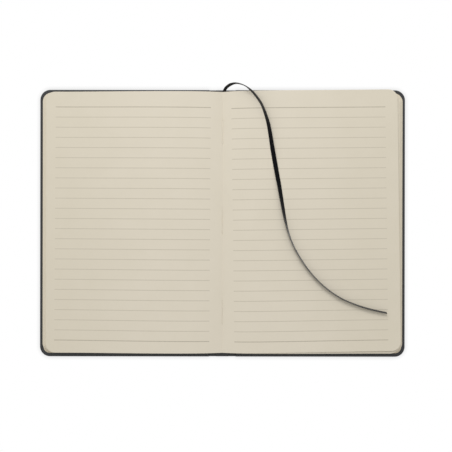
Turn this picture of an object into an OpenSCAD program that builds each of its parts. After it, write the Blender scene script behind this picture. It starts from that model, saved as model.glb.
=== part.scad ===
// Hardcover ruled notebook lying open at a middle spread, with a ribbon marker.
// X runs across the spread, Y towards the head and Z up from the table.

/* [Case] */
// Height of the cover from tail to head
cover_h = 213.4; // [180:0.2:260]
// Width of each cover board
board_w = 134.4; // [120:0.2:170]
// Thickness of each cover board
board_t = 2; // [1:0.1:3]
// Radius of the cover's outer corners
cover_r = 8; // [5:0.5:12]
// Thickness of the covering
skin_t = 0.6; // [0.4:0.05:0.9]
// Radius of the covering's turned edges
edge_r = 0.9; // [0.4:0.05:1.1]
// Width of the covering turned in over each edge
turn_in_w = 15; // [10:0.5:20]
// Width of the groove between a board and the spine card
groove_w = 6; // [5:0.25:9]
// Slit on each hinge line between the covering's spine and cover parts
hinge_slit = 0.3; // [0.2:0.05:0.5]

/* [Spine] */
// Width of the spine card
spine_w = 10; // [8:0.5:16]
// Thickness of the spine card
spine_card_t = 1; // [0.6:0.1:1.5]
// Thickness of the lining glued to the block's back
lining_t = 0.3; // [0.2:0.05:0.5]

/* [Endpapers] */
// Thickness of the endpapers
endpaper_t = 0.2; // [0.15:0.01:0.3]
// Width of the turned-in covering left showing round each pastedown
paste_margin = 3; // [2:0.25:5]
// Air between a flyleaf and the pastedown under it
leaf_gap = 0.1; // [0.05:0.01:0.3]
// Distance of a flyleaf's glued edge from the foot of the back
flyleaf_inset = 1; // [0.6:0.1:3]

/* [Leaves] */
// Width of a leaf from its fold to its fore-edge
leaf_w = 140.5; // [125:0.5:150]
// Height of a leaf
leaf_h = 207; // [170:0.5:212]
// Distance the leaves sit nearer the head than the tail
head_shift = 0.7; // [0:0.1:1]
// Radius of the leaves' outer corners
leaf_r = 7; // [4:0.5:10]
// Thickness of a leaf
leaf_t = 0.1; // [0.08:0.005:0.13]
// Leaves in a signature
signature_leaves = 8; // [4:2:12]
// Whole signatures on the left of the open fold
left_signatures = 5; // [3:1:9]
// Whole signatures on the right of the open fold
right_signatures = 6; // [3:1:9]
// Turn of the last leaves read on the right, in degrees
top_turn = 0.75; // [0:0.05:1]

/* [Arch of the open leaves] */
// Distance of the left crest from the fold
left_crest_x = 40; // [25:1:70]
// Rise of the left crest above the left fore-edge
left_rise = 3.8; // [2:0.1:8]
// Distance of the right crest from the fold
right_crest_x = 34; // [20:1:70]
// Rise of the right crest above the right fore-edge
right_rise = 3.6; // [2:0.1:8]
// Height of the fold above the case's lining
fold_lift = 4.2; // [3.6:0.1:5.5]
// Half the width of the opened back where it stands on the case
foot_x = 3.2; // [2.5:0.1:4.5]

/* [Sewing] */
// Thickness of the thread
thread_d = 0.5; // [0.3:0.05:0.6]
// Clearance round the thread in its holes
thread_gap = 0.1; // [0.05:0.01:0.2]
// Length of each stitch in the fold
stitch_len = 17.5; // [10:0.5:25]
// Distance between the middles of neighbouring stitches
stitch_pitch = 71.5; // [45:0.5:80]

/* [Ribbon] */
// Width of the ribbon
ribbon_w = 3.5; // [3:0.1:6]
// Thickness of the ribbon
ribbon_t = 0.4; // [0.3:0.05:0.6]

/* [Hidden] */

LEFT = 0;
RIGHT = 1;
ROUND_FN = 64;
SMALL_FN = 24;
CURVE_STEPS = 20;
OVER = 1;

// Heights in the case, from the table up
board_top = skin_t + board_t;
turn_top = board_top + skin_t;
groove_top = 2 * skin_t;
card_top = skin_t + spine_card_t;
flyleaf_z = turn_top + endpaper_t + leaf_gap;
block_z = flyleaf_z + endpaper_t;

// Places across the case, from the middle of the spine
hinge_x = (spine_w + groove_w) / 2;
board_x = spine_w / 2 + groove_w;
cover_x = board_x + board_w + skin_t;

// Leaves on each side of the open fold, and the heights of their pile
side_signatures = [left_signatures, right_signatures];
signature_t = signature_leaves * leaf_t;
half_signature_t = signature_t / 2;
pile_t = [for (n = side_signatures) n * signature_t + half_signature_t];
fore_z = [for (t = pile_t) block_z + t];
crest_x = [left_crest_x, right_crest_x];
crest_z = [fore_z[LEFT] + left_rise, fore_z[RIGHT] + right_rise];
fold_z = block_z + fold_lift;
back_top_z = fold_z - half_signature_t;
back_rise = back_top_z - block_z;
flank_len = norm([foot_x, back_rise]);

// A leaf over the arch uses up some of its width in height: a share of the height squared over the
// distance, larger on the climb from the fold than on the way down to the fore-edge
climb_share = 0.9;
descent_share = 0.6;
low_reach = foot_x + leaf_w;
top_reach = [for (s = [LEFT, RIGHT]) leaf_w
    - climb_share * pow(crest_z[s] - fold_z, 2) / crest_x[s]
    - descent_share * pow(crest_z[s] - fore_z[s], 2) / (leaf_w - crest_x[s])];

SKIN_COLOR = [0.11, 0.12, 0.13];
BOARD_COLOR = [0.55, 0.54, 0.52];
PAPER_COLOR = [0.85, 0.82, 0.74];
ENDPAPER_COLOR = [0.88, 0.85, 0.76];
THREAD_COLOR = [0.93, 0.91, 0.84];
LINING_COLOR = [0.80, 0.80, 0.76];
RIBBON_COLOR = [0.05, 0.05, 0.06];

// A rectangle from x0 to x1 and y0 to y1 whose two corners at x1 are round
module fore_edge_outline(x0, x1, y0, y1, r) {
    translate([x0, y0]) square([x1 - x0 - r, y1 - y0]);
    translate([x0, y0 + r]) square([x1 - x0, y1 - y0 - 2 * r]);
    for (y = [y0 + r, y1 - r]) {
        translate([x1 - r, y]) circle(r = r, $fn = ROUND_FN);
    }
}

// What is drawn for the right is mirrored for the left
module on_side(side) {
    if (side == LEFT) mirror([1, 0, 0]) children();
    else children();
}

// A slab between two heights
module slab(z0, z1) {
    translate([0, 0, z0]) linear_extrude(height = z1 - z0) children();
}

// A section drawn in X and Z, run along Y from y0 to y1
module along_y(y0, y1) {
    translate([0, y1, 0]) rotate([90, 0, 0]) linear_extrude(height = y1 - y0) children();
}

// A section drawn in Y and Z, run along X from x0 to x1
module along_x(x0, x1) {
    translate([x0, 0, 0]) rotate([90, 0, 90]) linear_extrude(height = x1 - x0) children();
}

// Radius of a turned edge of a given height, which keeps a flat side between its two rounds
flat_share = 0.2;
function edge_round(height) = min(edge_r, (1 - flat_share) * height / 2);

// Section of a turned edge: flat inside, rounded above and below at the outside
module edge_section(height) {
    r = edge_round(height);
    translate([-OVER, 0]) square([OVER, height]);
    translate([0, r]) square([r, height - 2 * r]);
    intersection() {
        square([r, height]);
        for (z = [r, height - r]) {
            translate([0, z]) circle(r = r, $fn = ROUND_FN);
        }
    }
}

// Outside of a cover from its hinge line to its fore-edge, all its turned edges rounded
module rounded_cover() {
    r = edge_round(turn_top);
    x0 = hinge_x + hinge_slit / 2;
    corner_x = cover_x - cover_r;
    corner_y = cover_h / 2 - cover_r;
    slab(0, turn_top) fore_edge_outline(x0, cover_x - r, r - cover_h / 2, cover_h / 2 - r, cover_r - r);
    along_y(-corner_y, corner_y) translate([cover_x - r, 0]) edge_section(turn_top);
    for (end = [0, 1]) {
        mirror([0, end, 0]) {
            along_x(x0, corner_x) translate([cover_h / 2 - r, 0]) edge_section(turn_top);
            translate([corner_x, corner_y, 0])
                rotate_extrude(angle = 90, $fn = ROUND_FN)
                    translate([cover_r - r, 0]) edge_section(turn_top);
        }
    }
}

module board_outline() {
    fore_edge_outline(board_x, board_x + board_w, skin_t - cover_h / 2, cover_h / 2 - skin_t,
                      cover_r - skin_t);
}

module board_solid() {
    slab(skin_t, board_top) board_outline();
}

// The covering's section over a board and down into the groove
module cover_turn_in_section() {
    translate([hinge_x, 0]) square([cover_x - hinge_x, groove_top]);
    translate([board_x - skin_t, 0]) square([cover_x - board_x + skin_t, turn_top]);
}

// Covering under one board, round its three free edges and turned in over them
module cover_skin_solid() {
    difference() {
        intersection() {
            rounded_cover();
            union() {
                slab(0, skin_t) square([2 * cover_x, 2 * cover_h], center = true);
                for (y = [-cover_h / 2, cover_h / 2 - turn_in_w]) {
                    along_y(y, y + turn_in_w) cover_turn_in_section();
                }
                translate([cover_x - turn_in_w, -cover_h / 2, 0])
                    cube([turn_in_w, cover_h, turn_top]);
            }
        }
        board_solid();
    }
}

// Outline of the bare board inside the turned-in covering
module bare_board_outline(inset) {
    half_y = cover_h / 2 - turn_in_w - inset;
    translate([board_x - OVER, -half_y])
        square([cover_x - turn_in_w - inset - board_x + OVER, 2 * half_y]);
}

// Endpaper glued over the board and the turned-in covering, with a step between them
module pastedown_solid() {
    difference() {
        slab(board_top, turn_top + endpaper_t)
            fore_edge_outline(board_x, cover_x - paste_margin, paste_margin - cover_h / 2,
                              cover_h / 2 - paste_margin, cover_r - paste_margin);
        slab(board_top + endpaper_t, turn_top + endpaper_t + OVER) bare_board_outline(endpaper_t);
        difference() {
            slab(board_top - OVER, turn_top) square([2 * cover_x, 2 * cover_h], center = true);
            slab(board_top - 2 * OVER, turn_top + OVER) bare_board_outline(0);
        }
    }
}

// Outline of leaves that reach a given distance from the middle
module leaf_outline(reach, x0) {
    fore_edge_outline(x0, reach, head_shift - leaf_h / 2, head_shift + leaf_h / 2, leaf_r);
}

module flyleaf_solid() {
    slab(flyleaf_z, block_z) leaf_outline(low_reach, foot_x + flyleaf_inset);
}

// Height of the uppermost leaf, steep at the fold, level at the crest, easing to the fore-edge
function arch_z(side, x) =
    x < crest_x[side]
    ? fold_z + (crest_z[side] - fold_z) * (1 - pow(1 - x / crest_x[side], 3))
    : let (u = min(1, (x - crest_x[side]) / (top_reach[side] - crest_x[side])))
      crest_z[side] - (crest_z[side] - fore_z[side]) * u * u * (3 - 2 * u);

// Height of the lowest leaf, which climbs the opened back near the fold
function floor_z(x) = block_z + back_rise * max(0, 1 - x / foot_x);

// Height part of the way up the pile
function pile_z(side, x, part) = floor_z(x) + part * (arch_z(side, x) - floor_z(x));

// Distance from the middle reached by the leaves part of the way up the pile
function pile_reach(side, part) = low_reach + part * (top_reach[side] - low_reach);

// Stations across the leaves, close together near the fold
crowding = 1.5;
function stations(reach) = [for (i = [0:CURVE_STEPS]) reach * pow(i / CURVE_STEPS, crowding)];

// Section of the pile between two parts of its height
module pile_section(side, low_part, high_part) {
    xs = stations(pile_reach(side, high_part));
    upper = [for (x = xs) [x, pile_z(side, x, high_part)]];
    lower = low_part > 0
        ? [for (i = [CURVE_STEPS:-1:0]) [xs[i], pile_z(side, xs[i], low_part)]]
        : [[xs[CURVE_STEPS], block_z], [foot_x, block_z], [0, back_top_z]];
    polygon(concat(upper, lower));
}

// Leaves between two parts of the pile's height, cut to their outline
module leaves(side, low_part, high_part, turn) {
    intersection() {
        along_y(head_shift - leaf_h, head_shift + leaf_h) pile_section(side, low_part, high_part);
        slab(0, crest_z[side] + OVER) rotate(turn)
            leaf_outline(pile_reach(side, high_part), -OVER);
    }
}

// One half of the pages: whole signatures in steps, and half of the open one on top
module half_pages(side) {
    n = side_signatures[side];
    for (i = [1:n]) {
        leaves(side, 0, i * signature_t / pile_t[side], 0);
    }
    leaves(side, (n - 0.5) * signature_t / pile_t[side], 1, side == RIGHT ? top_turn : 0);
}

// Radius of a signature's rounded back, a little over half its share of the flank, so that
// neighbouring backs meet in a valley
back_share = 0.55;
function back_r(side) = back_share * flank_len / side_signatures[side];
back_r_max = max(back_r(LEFT), back_r(RIGHT));

// Rounded backs of the folded signatures on one flank of the opened back
module signature_backs(side) {
    n = side_signatures[side];
    along_y(head_shift - leaf_h / 2, head_shift + leaf_h / 2)
        intersection() {
            translate([-2 * foot_x, block_z]) square([4 * foot_x, back_rise + OVER]);
            for (i = [0:n - 1]) {
                part = (i + 0.5) / n;
                translate([foot_x * (1 - part), block_z + back_rise * part])
                    circle(r = back_r(side), $fn = SMALL_FN);
            }
        }
}

// Places along Y where the thread passes through the fold, three stitches of two holes each
thread_holes = [for (m = [-1:1]) for (e = [-0.5, 0.5]) head_shift + m * stitch_pitch + e * stitch_len];
// Height of a stitch's middle above the fold, in thicknesses of the thread
stitch_rise = 0.8;
stitch_z = fold_z + stitch_rise * thread_d;

module page_block() {
    color(PAPER_COLOR)
    difference() {
        union() {
            for (side = [LEFT, RIGHT]) {
                on_side(side) half_pages(side);
                on_side(side) signature_backs(side);
            }
        }
        for (y = thread_holes) {
            translate([0, y, back_top_z - 2 * back_r_max])
                cylinder(d = thread_d + 2 * thread_gap, h = fold_lift + OVER, $fn = SMALL_FN);
        }
    }
}

// One stitch lying in the fold, with its ends turned down into the holes
module stitch(y0, y1) {
    translate([0, y0, stitch_z]) rotate([-90, 0, 0]) cylinder(d = thread_d, h = y1 - y0, $fn = SMALL_FN);
    for (y = [y0, y1]) {
        translate([0, y, fold_z - half_signature_t])
            cylinder(d = thread_d, h = stitch_z - fold_z + half_signature_t, $fn = SMALL_FN);
        translate([0, y, stitch_z]) sphere(d = thread_d, $fn = SMALL_FN);
    }
}

module sewing_thread() {
    color(THREAD_COLOR)
    for (m = [0:2]) {
        stitch(thread_holes[2 * m], thread_holes[2 * m + 1]);
    }
}

// Point of a line parallel to a flank, at a distance below it and at a given x or z
function under_flank_z(away) = back_top_z - away * flank_len / foot_x;
function under_flank_x(away, z) = (under_flank_z(away) - z) * foot_x / back_rise;

// Lining bent over the opened back like a low roof, against the signatures' backs
module spine_lining() {
    inner = back_r_max;
    outer = back_r_max + lining_t;
    color(LINING_COLOR)
    along_y(head_shift - leaf_h / 2 + OVER, head_shift + leaf_h / 2 - OVER)
        polygon([[0, under_flank_z(inner)], [under_flank_x(inner, block_z), block_z],
                 [under_flank_x(outer, block_z), block_z], [0, under_flank_z(outer)],
                 [-under_flank_x(outer, block_z), block_z], [-under_flank_x(inner, block_z), block_z]]);
}

module front_flyleaf() {
    color(ENDPAPER_COLOR) on_side(LEFT) flyleaf_solid();
}

module back_flyleaf() {
    color(ENDPAPER_COLOR) on_side(RIGHT) flyleaf_solid();
}

module front_pastedown() {
    color(ENDPAPER_COLOR) on_side(LEFT) pastedown_solid();
}

module back_pastedown() {
    color(ENDPAPER_COLOR) on_side(RIGHT) pastedown_solid();
}

module front_board() {
    color(BOARD_COLOR) on_side(LEFT) board_solid();
}

module back_board() {
    color(BOARD_COLOR) on_side(RIGHT) board_solid();
}

module front_cover_skin() {
    color(SKIN_COLOR) on_side(LEFT) cover_skin_solid();
}

module back_cover_skin() {
    color(SKIN_COLOR) on_side(RIGHT) cover_skin_solid();
}

module spine_card_solid() {
    translate([-spine_w / 2, skin_t - cover_h / 2, skin_t])
        cube([spine_w, cover_h - 2 * skin_t, spine_card_t]);
}

module spine_board() {
    color(BOARD_COLOR) spine_card_solid();
}

// Covering along the spine, turned in over the card at head and tail
module spine_skin() {
    half_w = hinge_x - hinge_slit / 2;
    spine_top = card_top + skin_t;
    r = edge_round(spine_top);
    color(SKIN_COLOR)
    difference() {
        intersection() {
            union() {
                translate([-half_w, -cover_h / 2, 0]) cube([2 * half_w, cover_h, skin_t]);
                for (y = [-cover_h / 2, cover_h / 2 - turn_in_w]) {
                    translate([-half_w, y, 0]) cube([2 * half_w, turn_in_w, groove_top]);
                    translate([-spine_w / 2 - skin_t, y, 0])
                        cube([spine_w + 2 * skin_t, turn_in_w, spine_top]);
                }
            }
            along_x(-hinge_x, hinge_x) {
                translate([r - cover_h / 2, 0]) square([cover_h - 2 * r, spine_top]);
                for (end = [0, 1]) {
                    mirror([end, 0]) translate([cover_h / 2 - r, 0]) edge_section(spine_top);
                }
            }
        }
        spine_card_solid();
    }
}

// The ribbon's route from the head of the back to its end: x, y, z and the roll of its width
// in degrees, where 0 lies flat and 90 stands on edge
ribbon_route = [
    [1, 104.7, 6.6, 54], [2.6, 107.4, 8, 56], [5.8, 109.6, 10.2, 62], [9.6, 110.4, 12.4, 80],
    [13.8, 109.6, 14.1, 89], [18.2, 107.6, 15, 90], [22.4, 104.2, 15.1, 73], [26.6, 99.6, 14.8, 69],
    [30.4, 94, 14.5, 67], [33.4, 86.8, 14.2, 57], [36, 78.2, 13.9, 44], [37.8, 68.4, 13.6, 33],
    [39.4, 58.4, 13.3, 20], [41.2, 48.4, 12.9, 5], [43, 38.4, 13.1, -14], [44.8, 28.8, 13.5, -33],
    [46.4, 19.2, 13.8, -46], [48, 10, 14, -57], [49.8, 1, 14, -69], [52.2, -8, 14, -78],
    [55.8, -17.2, 13.9, -79], [60.8, -26.4, 13.7, -79], [67.2, -35.8, 13.5, -79], [75.2, -45, 13.1, -79],
    [84.6, -53.2, 12.6, -79], [95.2, -59.8, 12.1, -78], [106.8, -64.6, 11.5, -76],
    [118.2, -68, 11.1, -76], [130, -70.6, 10.8, -74]];
RIBBON_SIDES = 8;

function unit(v) = v / norm(v);
function route_point(i) = [ribbon_route[i][0], ribbon_route[i][1], ribbon_route[i][2]];
function route_way(i) =
    unit(route_point(min(i + 1, len(ribbon_route) - 1)) - route_point(max(i - 1, 0)));

// One ring of the ribbon: a flat oval across its way, rolled about it
function ribbon_ring(i) =
    let (way = route_way(i), level = unit(cross([0, 0, 1], way)), up = cross(way, level),
         roll = ribbon_route[i][3],
         across = cos(roll) * level + sin(roll) * up,
         face = cross(way, across))
    [for (k = [0:RIBBON_SIDES - 1])
        let (a = 360 * (k + 0.5) / RIBBON_SIDES)
        route_point(i) + across * cos(a) * ribbon_w / 2 + face * sin(a) * ribbon_t / 2];

module ribbon_marker() {
    rings = len(ribbon_route);
    n = RIBBON_SIDES;
    points = [for (i = [0:rings - 1]) each ribbon_ring(i)];
    walls = [for (i = [0:rings - 2]) for (k = [0:n - 1])
        let (a = i * n + k, b = i * n + (k + 1) % n)
        each [[a, b, b + n], [a, b + n, a + n]]];
    first_end = [for (k = [n - 1:-1:0]) k];
    last_end = [for (k = [0:n - 1]) (rings - 1) * n + k];
    color(RIBBON_COLOR)
        polyhedron(points, concat(walls, [first_end, last_end]), convexity = 8);
}

page_block();
sewing_thread();
spine_lining();
front_flyleaf();
back_flyleaf();
front_pastedown();
back_pastedown();
front_board();
back_board();
spine_board();
front_cover_skin();
spine_skin();
back_cover_skin();
ribbon_marker();
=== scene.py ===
# Looks of a hardcover ruled notebook lying open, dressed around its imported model.
# Metres: +X runs right across the spread, +Y towards the head and +Z up from the table.
import math
import random

import bmesh
import bpy
from mathutils import Matrix, Vector, noise


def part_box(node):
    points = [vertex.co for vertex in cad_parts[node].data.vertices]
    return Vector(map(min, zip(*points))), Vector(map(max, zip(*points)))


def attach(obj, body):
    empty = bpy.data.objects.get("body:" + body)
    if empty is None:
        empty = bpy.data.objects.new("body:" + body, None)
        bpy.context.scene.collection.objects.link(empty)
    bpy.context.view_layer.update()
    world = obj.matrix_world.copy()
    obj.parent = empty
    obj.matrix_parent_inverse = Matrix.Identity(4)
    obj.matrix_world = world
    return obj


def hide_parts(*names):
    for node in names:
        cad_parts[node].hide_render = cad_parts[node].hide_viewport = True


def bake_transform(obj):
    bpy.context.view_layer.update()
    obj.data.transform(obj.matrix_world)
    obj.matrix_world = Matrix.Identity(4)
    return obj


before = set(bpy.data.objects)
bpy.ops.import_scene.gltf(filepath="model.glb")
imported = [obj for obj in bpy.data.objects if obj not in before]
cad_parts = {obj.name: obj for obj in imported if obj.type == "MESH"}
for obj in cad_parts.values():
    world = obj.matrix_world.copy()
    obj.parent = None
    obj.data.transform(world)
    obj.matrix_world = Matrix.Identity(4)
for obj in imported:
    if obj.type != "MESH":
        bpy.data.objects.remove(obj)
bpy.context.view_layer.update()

MM = 0.001
BLOCK_BODY = "page_body"
LEFT, RIGHT = 0, 1
SIDES = (LEFT, RIGHT)
SIDE_NAME = ("front", "back")
SIDE_SIGN = (-1, 1)

# The photograph is square, and its camera looks straight down
PHOTO_PX = 452
FOCAL_PX = 771
SENSOR_MM = 36
CAMERA_PLACE = Vector((2.8, -2.15, 620)) * MM
CAMERA_TURN = math.radians(0.09)

# Case: the covering, the boards and the grooves beside the spine card
skin_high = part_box("back_cover_skin")[1]
board_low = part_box("back_board")[0]
card_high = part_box("spine_board")[1]
SKIN_T = board_low.z
TURN_TOP = skin_high.z
COVER_X = skin_high.x
COVER_Y = skin_high.y
CORNER_R = 8 * MM
EDGE_R = 0.9 * MM
TURN_IN = 15 * MM
PLATE_INSET = 2.5 * MM
BOARD_X = board_low.x
SPINE_X = card_high.x
CARD_TOP = card_high.z
HINGE_X = (SPINE_X + BOARD_X) / 2
SEAM_X = 6 * MM
GLUE_T = 0.02 * MM
PLEATS = 6
PLEAT = 0.15 * MM
PLEAT_REACH = 3 * MM

# The groove pressed in from outside, and where the turned-in covering steps down into it
CHANNEL = 0.35 * MM
CHANNEL_CLEAR = 0.3 * MM
CHANNEL_ROUND = 0.6
CARD_STEP = 0.6 * MM
BOARD_STEP = 0.8 * MM
BOARD_STEP_X = BOARD_X - 0.9 * MM

# Stations across the coverings: over the card, beside it to the seam, over the groove and the
# board, and round a turned-in edge
CARD_XS = [0, 2.5 * MM, 4.4 * MM]
SEAM_STEPS = 6
GROOVE_STEPS = 16
BOARD_XS = [BOARD_X + 0.5 * MM, 40 * MM, 75 * MM, 110 * MM, COVER_X - CORNER_R]
EDGE_TURNS = [math.radians(a) for a in (0, 22, 45, 68, 90)]

# The endpaper over the groove
PAPER_CLEAR = 0.15 * MM
PAPER_LAP = 0.3 * MM
PAPER_FALL = 2.6 * MM
PAPER_CLIMB = 1.9 * MM
PAPER_STEPS = 24

# Leaves: one side's pile is signatures of eight leaves and half of the open one
flyleaf_low, flyleaf_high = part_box("back_flyleaf")
block_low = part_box("page_block")[0]
TAIL_Y = flyleaf_low.y
HEAD_Y = flyleaf_high.y
BLOCK_Z = block_low.z
LOW_REACH = flyleaf_high.x
LEAF_W = 140.5 * MM
LEAF_PITCH = 0.1 * MM
LEAF_T = 0.095 * MM
LEAF_R = 7 * MM
SIGNATURE_LEAVES = 8
SIGNATURES = (5, 6)
FOOT_X = 3.2 * MM
FOLD_Z = BLOCK_Z + 4.2 * MM
BACK_TOP_Z = FOLD_Z - SIGNATURE_LEAVES / 2 * LEAF_PITCH
BACK_RISE = BACK_TOP_Z - BLOCK_Z
FLANK = math.hypot(FOOT_X, BACK_RISE)
CREST_X = (40 * MM, 34 * MM)
RISE = (3.8 * MM, 3.6 * MM)
SETTLE = 5 * MM
STEP_JITTER = 0.05 * MM
RIPPLE = 0.45
RIPPLES_PER_M = (25, 12)
LIFT = (0.3 * MM, 0.8 * MM)
LIFT_FROM = (122 * MM, 60 * MM)
TOP_SLIP = 0.3
LEAF_SEED = 11
BACK_SIDES = 12
BACK_INSET = 0.05 * MM

# Half the mean squared slope of arch_z's climb and of its fall, for a height and a width of one
CLIMB_SLOPE = 0.9
FALL_SLOPE = 0.6

# Stations over a leaf, which crowd towards the fold
CROWDING = 1.5
CORNER_STEPS = 8
PILE_STEPS = 20
PILE_EDGES = [-1, -0.93, -0.6, -0.2, 0.2, 0.6, 0.93, 1]
PAGE_STEPS = 56
HALF_PAGE_STEPS = 24

# Turns of the leaves about the fold, in degrees: the open signature's four, and the others
TOP_TURNS = ((0, 0, 0, 0), (0.55, 0.65, 0.75, 0.85))
PILE_TURN = (0, -0.12)
TURN_WITHIN = 10 * MM

# Ruling: 24 lines a page
LINES = 24
LINE_PITCH = (8.04 * MM, 8.02 * MM)
LINE_W = 0.55 * MM
LINE_SOFTNESS = 0.6
LINE_END_MM = 0.1
FIRST_LINE_Y = (91.4 * MM, 90.55 * MM)
LINE_FROM = (-132.9 * MM, 8.2 * MM)
LINE_TO = (-9.8 * MM, 130.1 * MM)
LINE_TURN = (math.radians(-0.31), math.radians(0.8))

# Sewing: three stitches of two twisted strands in the open fold, and the dents round their holes
HEAD_SHIFT = (HEAD_Y + TAIL_Y) / 2
STITCH_PITCH = 71.5 * MM
STITCH_LEN = 17.5 * MM
STITCH_Z = FOLD_Z + 0.24 * MM
STITCH_DIP = 0.6 * MM
STITCH_STEPS = 150
STRAND_R = 0.13 * MM
STRAND_SIDES = 6
STRAND_OFFSET = 0.12 * MM
TWIST_PITCH = 1.5 * MM
HOLES = [HEAD_SHIFT + m * STITCH_PITCH + e * STITCH_LEN for m in (-1, 0, 1) for e in (-0.5, 0.5)]
DENT = 0.3 * MM
DENT_R = 0.5 * MM
DENT_REACH = 3 * MM
DENT_YS = [d * MM for d in (-1.2, -0.6, -0.25, 0, 0.25, 0.6, 1.2)]

# Ribbon: x, y and z in millimetres and the roll of its width in degrees, 0 flat and 90 on edge
RIBBON_W = 3.5 * MM
RIBBON_T = 0.28 * MM
RIBBON_ROUTE = [
    (1, 104.7, 6.6, 54), (2.6, 107.4, 8, 56), (5.8, 109.6, 10.2, 62), (9.6, 110.4, 12.4, 80),
    (13.8, 109.6, 14.1, 89), (18.2, 107.6, 15, 90), (22.4, 104.2, 15.1, 73), (26.6, 99.6, 14.8, 69),
    (30.4, 94, 14.5, 67), (33.4, 86.8, 14.2, 57), (36, 78.2, 13.9, 44), (37.8, 68.4, 13.6, 33),
    (39.4, 58.4, 13.3, 20), (41.2, 48.4, 12.9, 5), (43, 38.4, 13.1, -10), (44.8, 28.8, 13.5, -24),
    (46.4, 19.2, 13.8, -34), (48, 10, 14, -44), (49.8, 1, 14, -58), (52.2, -8, 14, -71),
    (55.8, -17.2, 13.9, -74), (60.8, -26.4, 13.7, -74), (67.2, -35.8, 13.5, -76),
    (75.2, -45, 13.1, -77), (84.6, -53.2, 12.6, -77), (95.2, -59.8, 12.1, -76),
    (106.8, -64.6, 11.5, -74), (118.2, -68, 11.1, -72), (130, -70.6, 10.8, -71)]
RIBBON_SPLITS = 5
WEB_SHARE = 0.34
RIB_MM = 0.42
FLOAT_MM = 0.16
SELVEDGE_MM = (1.45, 1.6)


def smooth(t):
    """0 to 1 with level ends."""
    t = min(1.0, max(0.0, t))
    return t * t * (3 - 2 * t)


# Camera
def make_camera():
    data = bpy.data.cameras.new("camera")
    data.sensor_width = SENSOR_MM
    data.lens = SENSOR_MM * FOCAL_PX / PHOTO_PX
    camera = bpy.data.objects.new("camera", data)
    camera.location = CAMERA_PLACE
    camera.rotation_euler = (0, 0, CAMERA_TURN)
    bpy.context.scene.collection.objects.link(camera)
    bpy.context.scene.camera = camera


# Node materials
class Shader:
    """A procedural material with one Principled surface, built by short calls."""

    def __init__(self, name, roughness, specular=0.4):
        self.material = bpy.data.materials.new(name)
        self.material.use_nodes = True
        self.tree = self.material.node_tree
        self.surface = self.tree.nodes["Principled BSDF"]
        self.surface.inputs["Roughness"].default_value = roughness
        self.surface.inputs["Specular IOR Level"].default_value = specular

    def add(self, kind, **settings):
        node = self.tree.nodes.new(kind)
        for key, value in settings.items():
            setattr(node, key, value)
        return node

    def feed(self, socket, value):
        """Links a socket to another, or sets it to a plain value."""
        if isinstance(value, bpy.types.NodeSocket):
            self.tree.links.new(value, socket)
        else:
            socket.default_value = value

    def math(self, operation, a, b=0.0, c=0.0):
        node = self.add("ShaderNodeMath", operation=operation)
        for socket, value in zip(node.inputs, (a, b, c)):
            self.feed(socket, value)
        return node.outputs[0]

    def millimetres(self, turn=0.0):
        """Object coordinates in millimetres, turned about the vertical."""
        mapping = self.add("ShaderNodeMapping")
        mapping.inputs["Rotation"].default_value = (0, 0, -turn)
        mapping.inputs["Scale"].default_value = (1 / MM,) * 3
        self.feed(mapping.inputs["Vector"], self.add("ShaderNodeTexCoord").outputs["Object"])
        return mapping.outputs["Vector"]

    def noise(self, place, per_mm, detail=2.0, roughness=0.5):
        node = self.add("ShaderNodeTexNoise")
        self.feed(node.inputs["Vector"], place)
        node.inputs["Scale"].default_value = per_mm
        node.inputs["Detail"].default_value = detail
        node.inputs["Roughness"].default_value = roughness
        return node.outputs["Fac"]

    def between(self, value, low, high, to_low=0.0, to_high=1.0):
        node = self.add("ShaderNodeMapRange", interpolation_type="SMOOTHSTEP")
        for socket, number in zip(node.inputs, (value, low, high, to_low, to_high)):
            self.feed(socket, number)
        return node.outputs[0]

    def mix(self, share, first, second):
        node = self.add("ShaderNodeMix", data_type="RGBA")
        self.feed(node.inputs[0], share)
        self.feed(node.inputs[6], first)
        self.feed(node.inputs[7], second)
        return node.outputs[2]

    def bump(self, height, distance, strength=1.0):
        node = self.add("ShaderNodeBump")
        node.inputs["Distance"].default_value = distance
        node.inputs["Strength"].default_value = strength
        self.feed(node.inputs["Height"], height)
        return node.outputs["Normal"]


def rgb(red, green, blue):
    """A colour given as it is seen, from 0 to 255, for a shader."""
    return tuple(((c / 255 + 0.055) / 1.055) ** 2.4 for c in (red, green, blue)) + (1.0,)


PAPER = rgb(222, 214, 198)
PAPER_DEEP = rgb(214, 206, 188)
LINE = rgb(195, 187, 170)
END_LINE = rgb(172, 164, 148)
# Painted shade: the paper darkens from 50 to 130 mm out from the fold, towards the fore-edges
EDGE_SHADE_FROM = 50 * MM
EDGE_SHADE_TO = 130 * MM
EDGE_SHADE_SHARE = 0.45
CLOUD_SHARE = 0.5
FIBRE_SHARE = 0.35
CREASE_RADIANS_PER_MM = 9.0
CREASE_WANDER = 8.0


def paper_surface(shader, place, colour, deep):
    """Uncoated paper: cloudy, with painted shade that darkens it towards the fore-edge, and with fibres in
    low relief.
    """
    cloud = shader.noise(place, 0.06, 3)
    fibre = shader.noise(place, 1.6, 4, 0.6)
    split = shader.add("ShaderNodeSeparateXYZ")
    shader.feed(split.inputs[0], place)
    from_fold = shader.math("ABSOLUTE", split.outputs[0])
    # Painted shade: darker the further from the fold, towards the fore-edge
    painted_edge_shade = shader.between(from_fold, EDGE_SHADE_FROM / MM, EDGE_SHADE_TO / MM, 0.0, EDGE_SHADE_SHARE)
    cloud_and_edge_shade = shader.math("MULTIPLY_ADD", cloud, CLOUD_SHARE, painted_edge_shade)
    share = shader.math("MULTIPLY_ADD", fibre, FIBRE_SHARE, cloud_and_edge_shade)
    shader.feed(shader.surface.inputs["Normal"], shader.bump(fibre, 0.02 * MM))
    return shader.mix(share, colour, deep)


def leaf_material():
    shader = Shader("leaf_paper", roughness=0.82, specular=0.25)
    place = shader.millimetres()
    shader.feed(shader.surface.inputs["Base Color"], paper_surface(shader, place, PAPER, PAPER_DEEP))
    return shader.material


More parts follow.
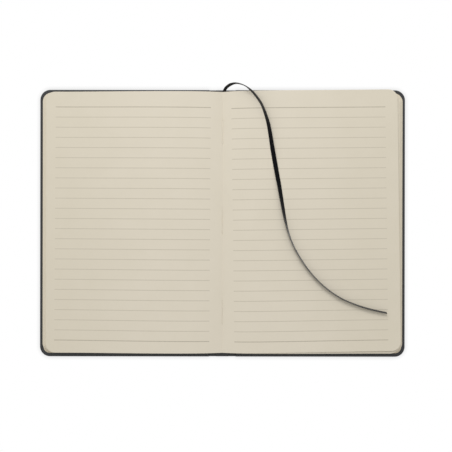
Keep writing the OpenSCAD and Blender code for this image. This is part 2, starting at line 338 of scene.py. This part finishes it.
def ruled_material(side):
    """Paper with 24 printed lines, the first and the last of them darker."""
    shader = Shader(f"ruled_paper_{SIDE_NAME[side]}", roughness=0.82, specular=0.25)
    place = shader.millimetres(LINE_TURN[side])
    split = shader.add("ShaderNodeSeparateXYZ")
    shader.feed(split.inputs[0], place)
    x, y = split.outputs[0], split.outputs[1]
    below_first = shader.math("SUBTRACT", FIRST_LINE_Y[side] / MM, y)
    number = shader.math("DIVIDE", below_first, LINE_PITCH[side] / MM)
    nearest = shader.math("ROUND", number)
    away = shader.math("ABSOLUTE", shader.math("SUBTRACT", number, nearest))
    half = LINE_W / LINE_PITCH[side] / 2
    on_line = shader.between(away, half * (1 - LINE_SOFTNESS), half * (1 + LINE_SOFTNESS), 1.0, 0.0)
    for end, before, past in ((LINE_FROM[side], 0.0, 1.0), (LINE_TO[side], 1.0, 0.0)):
        inside = shader.between(x, end / MM - LINE_END_MM, end / MM + LINE_END_MM, before, past)
        on_line = shader.math("MULTIPLY", on_line, inside)
    middle = (LINES - 1) / 2
    from_middle = shader.math("ABSOLUTE", shader.math("SUBTRACT", nearest, middle))
    printed = shader.math("LESS_THAN", from_middle, middle + 0.5)
    outer = shader.math("GREATER_THAN", from_middle, middle - 0.5)
    patchy = shader.between(shader.noise(place, 0.9, 2), 0.2, 0.7, 0.75, 1.0)
    on_line = shader.math("MULTIPLY", shader.math("MULTIPLY", on_line, printed), patchy)
    ink = shader.mix(outer, LINE, END_LINE)
    paper = paper_surface(shader, place, PAPER, PAPER_DEEP)
    shader.feed(shader.surface.inputs["Base Color"], shader.mix(on_line, paper, ink))
    return shader.material


def endpaper_material():
    shader = Shader("endpaper", roughness=0.78, specular=0.3)
    place = shader.millimetres()
    colour = paper_surface(shader, place, rgb(216, 206, 184), rgb(206, 195, 172))
    shader.feed(shader.surface.inputs["Base Color"], colour)
    return shader.material


def covering_material():
    """Soft imitation leather: a fine pebbled grain, a little shinier on the pebbles."""
    shader = Shader("covering", roughness=0.5, specular=0.45)
    place = shader.millimetres()
    cells = shader.add("ShaderNodeTexVoronoi", feature="SMOOTH_F1")
    shader.feed(cells.inputs["Vector"], place)
    cells.inputs["Scale"].default_value = 1.9
    cells.inputs["Smoothness"].default_value = 0.6
    pores = shader.noise(place, 5.5, 3, 0.6)
    cloud = shader.noise(place, 0.08, 3)
    grain = shader.math("MULTIPLY_ADD", pores, 0.35, cells.outputs["Distance"])
    relief = shader.bump(grain, 0.05 * MM, 0.8)
    shader.feed(shader.surface.inputs["Normal"], relief)
    shader.feed(shader.surface.inputs["Roughness"], shader.between(grain, 0.1, 0.9, 0.42, 0.6))
    tint = shader.math("MULTIPLY_ADD", cells.outputs["Distance"], 0.35, shader.math("MULTIPLY", cloud, 0.6))
    shader.feed(shader.surface.inputs["Base Color"], shader.mix(tint, rgb(28, 29, 31), rgb(40, 41, 42)))
    return shader.material


def ribbon_material():
    """Satin: fine ribs across the length, floats that shine along it and a plain selvedge."""
    shader = Shader("ribbon_satin", roughness=0.45, specular=0.04)
    shader.surface.inputs["Sheen Weight"].default_value = 0.5
    shader.surface.inputs["Sheen Roughness"].default_value = 0.4
    uv = shader.add("ShaderNodeUVMap", uv_map="ribbon").outputs[0]
    split = shader.add("ShaderNodeSeparateXYZ")
    shader.feed(split.inputs[0], uv)
    across, along = split.outputs[0], split.outputs[1]
    weft = shader.math("SINE", shader.math("MULTIPLY", along, 2 * math.pi / RIB_MM))
    warp = shader.math("SINE", shader.math("MULTIPLY", across, 2 * math.pi / FLOAT_MM))
    edge = shader.between(shader.math("ABSOLUTE", across), *SELVEDGE_MM)
    weave = shader.math("MULTIPLY_ADD", warp, 0.35, shader.math("MULTIPLY", weft, 0.65))
    relief = shader.math("MULTIPLY_ADD", edge, 1.5, weave)
    shader.feed(shader.surface.inputs["Normal"], shader.bump(relief, 0.018 * MM, 0.7))
    slub = shader.noise(shader.millimetres(), 0.8, 3)
    tint = shader.math("MULTIPLY_ADD", edge, 0.4, shader.math("MULTIPLY", slub, 0.6))
    shader.feed(shader.surface.inputs["Base Color"], shader.mix(tint, rgb(2, 3, 5), rgb(9, 11, 14)))
    return shader.material


def thread_material():
    shader = Shader("linen_thread", roughness=0.75, specular=0.25)
    fibre = shader.noise(shader.millimetres(), 9, 3)
    shader.feed(shader.surface.inputs["Base Color"],
                shader.mix(fibre, rgb(238, 232, 219), rgb(222, 214, 198)))
    shader.feed(shader.surface.inputs["Normal"], shader.bump(fibre, 0.03 * MM))
    return shader.material


def board_material():
    shader = Shader("grey_board", roughness=0.9, specular=0.2)
    place = shader.millimetres()
    fleck = shader.noise(place, 2.2, 4, 0.7)
    shader.feed(shader.surface.inputs["Base Color"],
                shader.mix(fleck, rgb(150, 145, 136), rgb(118, 113, 105)))
    shader.feed(shader.surface.inputs["Normal"], shader.bump(fleck, 0.04 * MM))
    return shader.material


def lining_material():
    """Crepe paper over the sewn back, with fine creases along the spine."""
    shader = Shader("back_lining", roughness=0.85, specular=0.2)
    place = shader.millimetres()
    split = shader.add("ShaderNodeSeparateXYZ")
    shader.feed(split.inputs[0], place)
    wander = shader.noise(place, 0.7, 3)
    shift = shader.math("MULTIPLY", wander, CREASE_WANDER)
    phase = shader.math("MULTIPLY_ADD", split.outputs[1], CREASE_RADIANS_PER_MM, shift)
    crease = shader.math("SINE", phase)
    shader.feed(shader.surface.inputs["Normal"], shader.bump(crease, 0.04 * MM))
    shader.feed(shader.surface.inputs["Base Color"],
                shader.mix(wander, rgb(205, 197, 180), rgb(184, 175, 156)))
    return shader.material


# Mesh building
WELD = 1e-7
SHARP_PAST = math.radians(35)
RIBBON_SHARP_PAST = math.radians(60)


def make_piece(name, points, faces, material):
    """A smooth-shaded mesh whose edges past SHARP_PAST stay sharp."""
    mesh = bpy.data.meshes.new(name)
    mesh.from_pydata([tuple(p) for p in points], [], faces)
    tidy = bmesh.new()
    tidy.from_mesh(mesh)
    bmesh.ops.remove_doubles(tidy, verts=tidy.verts, dist=WELD)
    bmesh.ops.dissolve_degenerate(tidy, edges=tidy.edges, dist=WELD)
    bmesh.ops.recalc_face_normals(tidy, faces=tidy.faces)
    tidy.to_mesh(mesh)
    tidy.free()
    mesh.polygons.foreach_set("use_smooth", [True] * len(mesh.polygons))
    mesh.set_sharp_from_angle(angle=SHARP_PAST)
    mesh.materials.append(material)
    piece = bpy.data.objects.new(name, mesh)
    bpy.context.scene.collection.objects.link(piece)
    return piece


def add_sheet(points, faces, rows, thickness):
    """Adds a thin closed sheet whose upper side is a grid of points."""
    start, across = len(points), len(rows[0])
    count = len(rows) * across
    for drop in (0, thickness):
        for row in rows:
            points.extend(p - Vector((0, 0, drop)) for p in row)

    def at(i, j, lower):
        return start + lower * count + i * across + j

    last_i, last_j = len(rows) - 1, across - 1
    for i in range(last_i):
        for j in range(last_j):
            faces.append((at(i, j, 0), at(i + 1, j, 0), at(i + 1, j + 1, 0), at(i, j + 1, 0)))
            faces.append((at(i, j, 1), at(i, j + 1, 1), at(i + 1, j + 1, 1), at(i + 1, j, 1)))
        for j in (0, last_j):
            faces.append((at(i, j, 0), at(i, j, 1), at(i + 1, j, 1), at(i + 1, j, 0)))
    for j in range(last_j):
        for i in (0, last_i):
            faces.append((at(i, j, 0), at(i, j + 1, 0), at(i, j + 1, 1), at(i, j, 1)))


def add_tube(points, faces, rings):
    """Adds a tube with closed ends through rings of points."""
    start, n = len(points), len(rings[0])
    for ring in rings:
        points.extend(ring)
    for i in range(len(rings) - 1):
        for k in range(n):
            a, b = start + i * n + k, start + i * n + (k + 1) % n
            faces.append((a, b, b + n, a + n))
    faces.append(tuple(start + k for k in reversed(range(n))))
    faces.append(tuple(start + (len(rings) - 1) * n + k for k in range(n)))


# Leaves
def pile_leaves(side):
    return SIGNATURES[side] * SIGNATURE_LEAVES + SIGNATURE_LEAVES // 2


def fore_z(side):
    return BLOCK_Z + pile_leaves(side) * LEAF_PITCH


def crest_z(side):
    return fore_z(side) + RISE[side]


def top_reach(side):
    """A leaf over the arch uses up some of its width in height."""
    return (LEAF_W - CLIMB_SLOPE * (crest_z(side) - FOLD_Z) ** 2 / CREST_X[side]
            - FALL_SLOPE * RISE[side] ** 2 / (LEAF_W - CREST_X[side]))


def arch_z(side, x):
    """Height of the uppermost leaf, steep at the fold, level at the crest."""
    if x < CREST_X[side]:
        return FOLD_Z + (crest_z(side) - FOLD_Z) * (1 - (1 - x / CREST_X[side]) ** 3)
    return crest_z(side) - RISE[side] * smooth((x - CREST_X[side]) / (top_reach(side) - CREST_X[side]))


def floor_z(x):
    return BLOCK_Z + BACK_RISE * max(0.0, 1 - x / FOOT_X)


def pile_z(side, x, part):
    return floor_z(x) + part * (arch_z(side, x) - floor_z(x))


def pile_reach(side, part):
    return LOW_REACH + part * (top_reach(side) - LOW_REACH)


def leaf_start(side, index):
    """Where a leaf leaves its fold on the opened back: distance from the middle, and height."""
    signature, inner = divmod(index, SIGNATURE_LEAVES)
    if signature == SIGNATURES[side]:
        return 0.0, BACK_TOP_Z + (inner + 1) * LEAF_PITCH
    share = (signature + 0.5) / SIGNATURES[side]
    share += (inner - (SIGNATURE_LEAVES - 1) / 2) * LEAF_PITCH / FLANK
    return FOOT_X * (1 - share), BLOCK_Z + BACK_RISE * share


def dent_depth(x, y):
    """How far a stitch's hole draws the page down, at a place seen from the hole."""
    return DENT * math.exp(-((x / DENT_R) ** 2 + (y / DENT_R) ** 2))


def leaf_rows(side, index, across, along, rng):
    """Grid of points over the upper side of one leaf, from its fold to its fore-edge."""
    count = pile_leaves(side)
    part = (index + 1) / count
    start_x, start_z = leaf_start(side, index)
    open_leaf = index - SIGNATURES[side] * SIGNATURE_LEAVES
    turn = math.radians(TOP_TURNS[side][open_leaf] if open_leaf >= 0 else PILE_TURN[side])
    reach = pile_reach(side, part) + (0 if open_leaf >= 0 else rng.uniform(-1, 1) * STEP_JITTER)
    slip = rng.uniform(-1, 1) * STEP_JITTER * (TOP_SLIP if open_leaf >= 0 else 1)
    wave_seed = rng.uniform(0, 50)
    lift = LIFT[side] * max(0, open_leaf + 1) / (SIGNATURE_LEAVES / 2)
    straight = reach - LEAF_R
    xs = [start_x + (straight - start_x) * (i / across) ** CROWDING for i in range(across + 1)]
    turns = [math.radians(90) * k / CORNER_STEPS for k in range(1, CORNER_STEPS + 1)]
    stations = [(x, 0.0) for x in xs]
    stations += [(straight + LEAF_R * math.sin(a), LEAF_R * (1 - math.cos(a))) for a in turns]
    rows = []
    for x, pull in stations:
        settle = smooth((x - start_x) / SETTLE)
        free = max(0.0, (arch_z(side, x) - floor_z(x)) / count - LEAF_PITCH)
        if open_leaf >= 0:
            height = pile_z(side, x, part) - (pile_z(side, 0, part) - start_z) * (1 - settle)
        else:
            height = start_z + (pile_z(side, x, part) - start_z) * settle
        height += lift * smooth((x - LIFT_FROM[side]) / (reach - LIFT_FROM[side]))
        row = []
        for f in along:
            y = f * (HEAD_Y - TAIL_Y) / 2
            y = math.copysign(min(abs(y), (HEAD_Y - TAIL_Y) / 2 - pull), y)
            z = height
            if index < count - 1:
                ripple = noise.noise(Vector((x * RIPPLES_PER_M[0], y * RIPPLES_PER_M[1], wave_seed)))
                z += RIPPLE * free * settle * ripple
            elif x < DENT_REACH:
                z -= sum(dent_depth(x, y + HEAD_SHIFT - hole) for hole in HOLES)
            place = Vector((x, y + HEAD_SHIFT + slip * settle, z))
            place = Matrix.Rotation(turn * smooth(x / TURN_WITHIN), 3, "Z") @ place
            place.x *= SIDE_SIGN[side]
            row.append(place)
        rows.append(row)
    return rows


def signature_back(side, signature, points, faces):
    """The rounded back of a folded signature, where its outer sheet turns round."""
    share = (signature + 0.5) / SIGNATURES[side]
    centre = Vector((FOOT_X * (1 - share), 0, BLOCK_Z + BACK_RISE * share))
    radius = 0.5 * FLANK / SIGNATURES[side]
    rings = []
    for y in (TAIL_Y + BACK_INSET, HEAD_SHIFT, HEAD_Y - BACK_INSET):
        ring = []
        for k in range(BACK_SIDES):
            a = 2 * math.pi * k / BACK_SIDES
            ring.append(Vector(((centre.x + radius * math.cos(a)) * SIDE_SIGN[side], y,
                                max(BLOCK_Z, centre.z + radius * math.sin(a)))))
        rings.append(ring)
    add_tube(points, faces, rings)


def make_leaves(side, leaf, ruled):
    """The pile on one side, and apart from it the uppermost leaf, which is read."""
    rng = random.Random(LEAF_SEED + side)
    points, faces = [], []
    for index in range(pile_leaves(side) - 1):
        add_sheet(points, faces, leaf_rows(side, index, PILE_STEPS, PILE_EDGES, rng), LEAF_T)
    for signature in range(SIGNATURES[side]):
        signature_back(side, signature, points, faces)
    pile = make_piece(f"{SIDE_NAME[side]}_leaves", points, faces, leaf)

    half = (HEAD_Y - TAIL_Y) / 2
    near = [(hole - HEAD_SHIFT + d) / half for hole in HOLES for d in DENT_YS]
    even = [i / HALF_PAGE_STEPS - 1 for i in range(2 * HALF_PAGE_STEPS + 1)]
    fine = sorted(set(even + near))
    points, faces = [], []
    add_sheet(points, faces, leaf_rows(side, pile_leaves(side) - 1, PAGE_STEPS, fine, rng), LEAF_T)
    page = make_piece(f"{SIDE_NAME[side]}_open_page", points, faces, ruled)
    for piece in (pile, page):
        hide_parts("page_block")
        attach(piece, BLOCK_BODY)


# Thread
def make_thread(material):
    """Three stitches of two twisted strands, each end turned down into its hole."""
    points, faces = [], []
    for low, high in zip(HOLES[::2], HOLES[1::2]):
        length = high - low + 2 * STITCH_DIP
        for strand in (0, math.pi):
            rings = []
            for i in range(STITCH_STEPS + 1):
                s = length * i / STITCH_STEPS - STITCH_DIP
                over = max(0.0, -s, s - (high - low))
                y = min(high, max(low, low + s))
                centre = Vector((0, y, STITCH_Z - over))
                angle = strand + 2 * math.pi * s / TWIST_PITCH
                side = Vector((math.cos(angle), 0, math.sin(angle))) * STRAND_OFFSET
                ring = [centre + side + Vector((math.cos(b), 0, math.sin(b))) * STRAND_R
                        for b in (2 * math.pi * k / STRAND_SIDES for k in range(STRAND_SIDES))]
                rings.append(ring)
            add_tube(points, faces, rings)
    thread = make_piece("stitches", points, faces, material)
    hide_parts("sewing_thread")
    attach(thread, BLOCK_BODY)


# Covering
def channel_z(x):
    """Height of the covering's outer side: the hinge groove is pressed in from outside."""
    inner, outer = SPINE_X + CHANNEL_CLEAR, BOARD_X - CHANNEL_CLEAR
    if not inner < x < outer:
        return 0.0
    return CHANNEL * math.sin(math.pi * (x - inner) / (outer - inner)) ** CHANNEL_ROUND


def turned_top(x):
    """Height of the covering where it is turned in over itself, the spine card or a board."""
    low = channel_z(x) + 2 * SKIN_T + GLUE_T
    onto_card = smooth((SPINE_X + CARD_STEP - x) / CARD_STEP)
    onto_board = smooth((x - BOARD_STEP_X) / BOARD_STEP)
    return low + onto_card * (CARD_TOP + SKIN_T - low) + onto_board * (TURN_TOP - low)


def edge_profile(x, pleat=0.0):
    """Section through a turned-in edge: distance from the edge, and height, from the outer side
    of the covering round the edge to its inner side."""
    low, top = channel_z(x), turned_top(x)
    r = min(EDGE_R, (top - low) / 2)
    outer = [(PLATE_INSET, low)]
    outer += [(r - r * math.sin(a), low + r - r * math.cos(a)) for a in EDGE_TURNS]
    outer += [(r - r * math.cos(a), top - r + r * math.sin(a) - pleat * math.sin(a)) for a in EDGE_TURNS]
    inner = [(PLEAT_REACH, top - pleat), (TURN_IN, top), (TURN_IN, top - SKIN_T)]
    inner += [(SKIN_T, top - SKIN_T), (SKIN_T, low + SKIN_T), (PLATE_INSET, low + SKIN_T)]
    return outer + inner


def straight_rows(xs, end):
    """Rows of profile points along the tail (end -1) or the head (end 1), one for each x."""
    return [[Vector((x, end * (COVER_Y - d), z)) for d, z in edge_profile(abs(x))] for x in xs]


def corner_rows(end):
    """Rows round one outer corner, from the tail or head edge to the fore-edge."""
    centre = Vector((COVER_X - CORNER_R, end * (COVER_Y - CORNER_R), 0))
    steps = 4 * PLEATS
    rows = []
    for k in range(1, steps):
        a = math.radians(90) * k / steps
        way = Vector((math.sin(a), end * math.cos(a), 0))
        pleat = PLEAT * math.sin(math.pi * PLEATS * k / steps) ** 2
        row = []
        for d, z in edge_profile(centre.x, pleat):
            over = max(0.0, d - CORNER_R)
            place = centre + way * (CORNER_R - d + over) - Vector((over, end * over, 0))
            row.append(place + Vector((0, 0, z)))
        rows.append(row)
    return rows


def fore_edge_rows():
    """Rows along the fore-edge, from the tail corner to the head corner."""
    reach = COVER_Y - CORNER_R
    count = 8
    ys = [reach * (2 * i / count - 1) for i in range(count + 1)]
    return [[Vector((COVER_X - d, math.copysign(min(abs(y), COVER_Y - max(d, CORNER_R)), y), z))
             for d, z in edge_profile(COVER_X)] for y in ys]


def add_rows(points, faces, rows):
    """Adds rows of points joined by faces, and returns the points' numbers row by row."""
    start, n = len(points), len(rows[0])
    for row in rows:
        points.extend(row)
    numbers = [[start + i * n + k for k in range(n)] for i in range(len(rows))]
    for a, b in zip(numbers, numbers[1:]):
        for k in range(n - 1):
            faces.append((a[k], a[k + 1], b[k + 1], b[k]))
    return numbers


def add_plates(faces, tail, head):
    """Adds the covering's outer and inner sides between matching tail and head rows."""
    for k in (0, -1):
        for i in range(len(tail) - 1):
            faces.append((tail[i][k], tail[i + 1][k], head[i + 1][k], head[i][k]))


def add_cap(faces, tail_row, head_row):
    faces.append(tuple(reversed(tail_row)) + tuple(head_row))


def mirrored(points, side):
    return [Vector((p.x * SIDE_SIGN[side], p.y, p.z)) for p in points]


def make_cover(side, material):
    """The covering over one board and its groove beside the hinge line."""
    groove = [SEAM_X + (BOARD_X - SEAM_X) * i / GROOVE_STEPS for i in range(GROOVE_STEPS + 1)]
    tail = straight_rows(groove + BOARD_XS, -1)
    head = straight_rows(groove + BOARD_XS, 1)
    rows = tail + corner_rows(-1) + fore_edge_rows() + corner_rows(1)[::-1] + head[::-1]
    points, faces = [], []
    numbers = add_rows(points, faces, rows)
    bend = len(groove)
    add_plates(faces, numbers[:bend], numbers[::-1][:bend])
    for k in (0, -1):
        faces.append(tuple(row[k] for row in numbers[bend - 1:len(numbers) - bend + 1]))
    add_cap(faces, numbers[0], numbers[-1])
    cover = make_piece(f"{SIDE_NAME[side]}_covering", mirrored(points, side), faces, material)
    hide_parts(f"{SIDE_NAME[side]}_cover_skin")
    bend_on_hinge(cover)


def bend_on_hinge(piece):
    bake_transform(piece)


def make_spine(material):
    """The covering along the spine, turned in over the card at tail and head."""
    half = CARD_XS + [SPINE_X + (SEAM_X - SPINE_X) * i / SEAM_STEPS for i in range(SEAM_STEPS + 1)]
    xs = [-x for x in half[:0:-1]] + half
    points, faces = [], []
    tail = add_rows(points, faces, straight_rows(xs, -1))
    head = add_rows(points, faces, straight_rows(xs, 1))
    add_plates(faces, tail, head)
    add_cap(faces, tail[0], head[0])
    add_cap(faces, tail[-1], head[-1])
    spine = make_piece("spine_covering", points, faces, material)
    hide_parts("spine_skin")
    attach(spine, BLOCK_BODY)


def make_hinge_paper(side, material):
    """The endpaper between flyleaf and pastedown, pressed down into the groove."""
    paper_t = flyleaf_high.z - flyleaf_low.z
    glue_x = flyleaf_low.x
    deep = channel_z(HINGE_X) + 2 * SKIN_T + paper_t + PAPER_CLEAR
    rows = []
    for i in range(PAPER_STEPS + 1):
        x = glue_x + (BOARD_X + PAPER_LAP - glue_x) * i / PAPER_STEPS
        down = smooth((x - glue_x) / PAPER_FALL)
        up = smooth((x - BOARD_X + PAPER_CLIMB) / PAPER_CLIMB)
        z = flyleaf_high.z + (deep - flyleaf_high.z) * down
        z += (TURN_TOP + paper_t + GLUE_T - deep) * up
        rows.append([Vector((x * SIDE_SIGN[side], y, z)) for y in (TAIL_Y, HEAD_SHIFT, HEAD_Y)])
    points, faces = [], []
    add_sheet(points, faces, rows, paper_t)
    strip = make_piece(f"{SIDE_NAME[side]}_hinge_paper", points, faces, material)
    bend_on_hinge(strip)


# Ribbon
def spline(values, i, t):
    """Catmull-Rom value between values[i] and values[i + 1]."""
    last = len(values) - 1
    a, b = values[max(0, i - 1)], values[i]
    c, d = values[min(last, i + 1)], values[min(last, i + 2)]
    return 0.5 * (2 * b + (c - a) * t + (2 * a - 5 * b + 4 * c - d) * t * t
                  + (3 * b - a - 3 * c + d) * t ** 3)


def ribbon_line():
    """Centres and rolls along the ribbon, closer together than the route's points."""
    places = [Vector(row[:3]) * MM for row in RIBBON_ROUTE]
    rolls = [row[3] for row in RIBBON_ROUTE]
    line = []
    for i in range(len(places) - 1):
        for k in range(RIBBON_SPLITS):
            t = k / RIBBON_SPLITS
            line.append((spline(places, i, t), spline(rolls, i, t)))
    line.append((places[-1], rolls[-1]))
    return line


def ribbon_section():
    """Flat section with slightly thicker selvedges: shares of the width, and half thicknesses."""
    edge, web = RIBBON_T / 2, RIBBON_T * WEB_SHARE
    half = [(0, web), (0.2, web), (0.43, web), (0.47, edge), (0.495, edge * 0.7), (0.5, 0)]
    upper = [(-w, h) for w, h in half[:0:-1]] + half
    return upper + [(w, -h) for w, h in upper[-2:0:-1]]


def make_ribbon(material):
    line = ribbon_line()
    section = ribbon_section()
    points, faces, rings = [], [], []
    travelled, marks = 0.0, []
    for i, (centre, roll) in enumerate(line):
        before, after = line[max(0, i - 1)][0], line[min(len(line) - 1, i + 1)][0]
        way = (after - before).normalized()
        level = Vector((0, 0, 1)).cross(way).normalized()
        up = way.cross(level)
        a = math.radians(roll)
        across = math.cos(a) * level + math.sin(a) * up
        face = across.cross(way)
        travelled += (centre - before).length if i else 0.0
        marks += [(w * RIBBON_W / MM, travelled / MM) for w, _ in section]
        rings.append([centre + across * (w * RIBBON_W) + face * h for w, h in section])
    add_tube(points, faces, rings)
    mesh = bpy.data.meshes.new("ribbon")
    mesh.from_pydata([tuple(p) for p in points], [], faces)
    uv = mesh.uv_layers.new(name="ribbon")
    for loop in mesh.loops:
        uv.data[loop.index].uv = marks[loop.vertex_index]
    mesh.polygons.foreach_set("use_smooth", [True] * len(mesh.polygons))
    mesh.set_sharp_from_angle(angle=RIBBON_SHARP_PAST)
    mesh.materials.append(material)
    ribbon = bpy.data.objects.new("ribbon", mesh)
    bpy.context.scene.collection.objects.link(ribbon)
    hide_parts("ribbon_marker")
    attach(ribbon, BLOCK_BODY)


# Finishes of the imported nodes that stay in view
def finish_nodes(materials):
    for node, material in materials.items():
        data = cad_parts[node].data
        data.materials.clear()
        data.materials.append(material)


# Stage
FLOOR_HALF = 3.0
FLOOR_DROP = 0.05 * MM
FLOOR_WHITE = (0.9, 0.9, 0.9, 1)
FLOOR_GLOW = 0.38
SHADE_REACH = 4 * MM
SHADE_DEPTH = 0.5
WORLD_WHITE = (1.0, 0.995, 0.985, 1)
WORLD_LEVEL = 0.675
KEY_PLACE = Vector((-0.12, 0.75, 0.8))
KEY_SIZE = 0.45
KEY_WATTS = 5.0


def make_floor():
    """A white floor that lights the notebook from below. The camera looks through it at the white
    backdrop, darkened where the notebook shades the floor, so that the underside shows, and so do
    covers that are folded down past it."""
    mesh = bpy.data.meshes.new("floor")
    signs = [(-1, -1), (1, -1), (1, 1), (-1, 1)]
    corners = [(x * FLOOR_HALF, y * FLOOR_HALF, -FLOOR_DROP) for x, y in signs]
    mesh.from_pydata(corners, [], [(0, 1, 2, 3)])
    floor = bpy.data.objects.new("floor", mesh)
    bpy.context.scene.collection.objects.link(floor)
    shader = Shader("floor_white", roughness=0.9, specular=0.0)
    shader.surface.inputs["Base Color"].default_value = FLOOR_WHITE
    shader.surface.inputs["Emission Color"].default_value = (1, 1, 1, 1)
    rays = shader.add("ShaderNodeLightPath")
    seen = shader.math("MAXIMUM", rays.outputs["Is Glossy Ray"], rays.outputs["Is Transmission Ray"])
    shader.feed(shader.surface.inputs["Emission Strength"], shader.math("MULTIPLY", seen, FLOOR_GLOW))
    near = shader.add("ShaderNodeAmbientOcclusion", samples=16)
    near.inputs["Distance"].default_value = SHADE_REACH
    shade = shader.math("MULTIPLY_ADD", near.outputs["AO"], SHADE_DEPTH, 1 - SHADE_DEPTH)
    from_below = shader.add("ShaderNodeNewGeometry").outputs["Backfacing"]
    clear = shader.add("ShaderNodeBsdfTransparent")
    shader.feed(clear.inputs["Color"], shader.math("MAXIMUM", from_below, shade))
    mix = shader.add("ShaderNodeMixShader")
    shader.feed(mix.inputs[0], rays.outputs["Is Camera Ray"])
    shader.feed(mix.inputs[1], shader.surface.outputs[0])
    shader.feed(mix.inputs[2], clear.outputs[0])
    shader.feed(shader.tree.nodes["Material Output"].inputs["Surface"], mix.outputs[0])
    mesh.materials.append(shader.material)


def make_world():
    world = bpy.data.worlds.new("studio")
    world.use_nodes = True
    tree = world.node_tree
    light = tree.nodes["Background"]
    light.inputs["Color"].default_value = WORLD_WHITE
    light.inputs["Strength"].default_value = WORLD_LEVEL
    seen = tree.nodes.new("ShaderNodeBackground")
    seen.inputs["Color"].default_value = (1, 1, 1, 1)
    rays = tree.nodes.new("ShaderNodeLightPath")
    either = rays.outputs["Is Camera Ray"]
    for kind in ("Is Glossy Ray", "Is Transmission Ray"):
        larger = tree.nodes.new("ShaderNodeMath")
        larger.operation = "MAXIMUM"
        tree.links.new(either, larger.inputs[0])
        tree.links.new(rays.outputs[kind], larger.inputs[1])
        either = larger.outputs[0]
    mix = tree.nodes.new("ShaderNodeMixShader")
    tree.links.new(either, mix.inputs[0])
    tree.links.new(light.outputs[0], mix.inputs[1])
    tree.links.new(seen.outputs[0], mix.inputs[2])
    tree.links.new(mix.outputs[0], tree.nodes["World Output"].inputs[0])
    bpy.context.scene.world = world


def make_key():
    """A soft lamp high beyond the head, a little to the left."""
    lamp = bpy.data.lights.new("key", "AREA")
    lamp.shape = "SQUARE"
    lamp.size = KEY_SIZE
    lamp.energy = KEY_WATTS
    key = bpy.data.objects.new("key", lamp)
    key.location = KEY_PLACE
    key.rotation_euler = (-KEY_PLACE).to_track_quat("-Z", "Y").to_euler()
    bpy.context.scene.collection.objects.link(key)


make_camera()
make_ribbon(ribbon_material())

leaf_paper = leaf_material()
endpaper = endpaper_material()
covering = covering_material()
grey_board = board_material()

for side in SIDES:
    make_leaves(side, leaf_paper, ruled_material(side))
    make_cover(side, covering)
    make_hinge_paper(side, endpaper)
make_spine(covering)
make_thread(thread_material())

finish_nodes({
    "front_board": grey_board, "back_board": grey_board, "spine_board": grey_board,
    "front_pastedown": endpaper, "back_pastedown": endpaper,
    "front_flyleaf": endpaper, "back_flyleaf": endpaper,
    "spine_lining": lining_material(),
})

make_floor()
make_world()
make_key()
bpy.context.scene.view_settings.view_transform = "Standard"
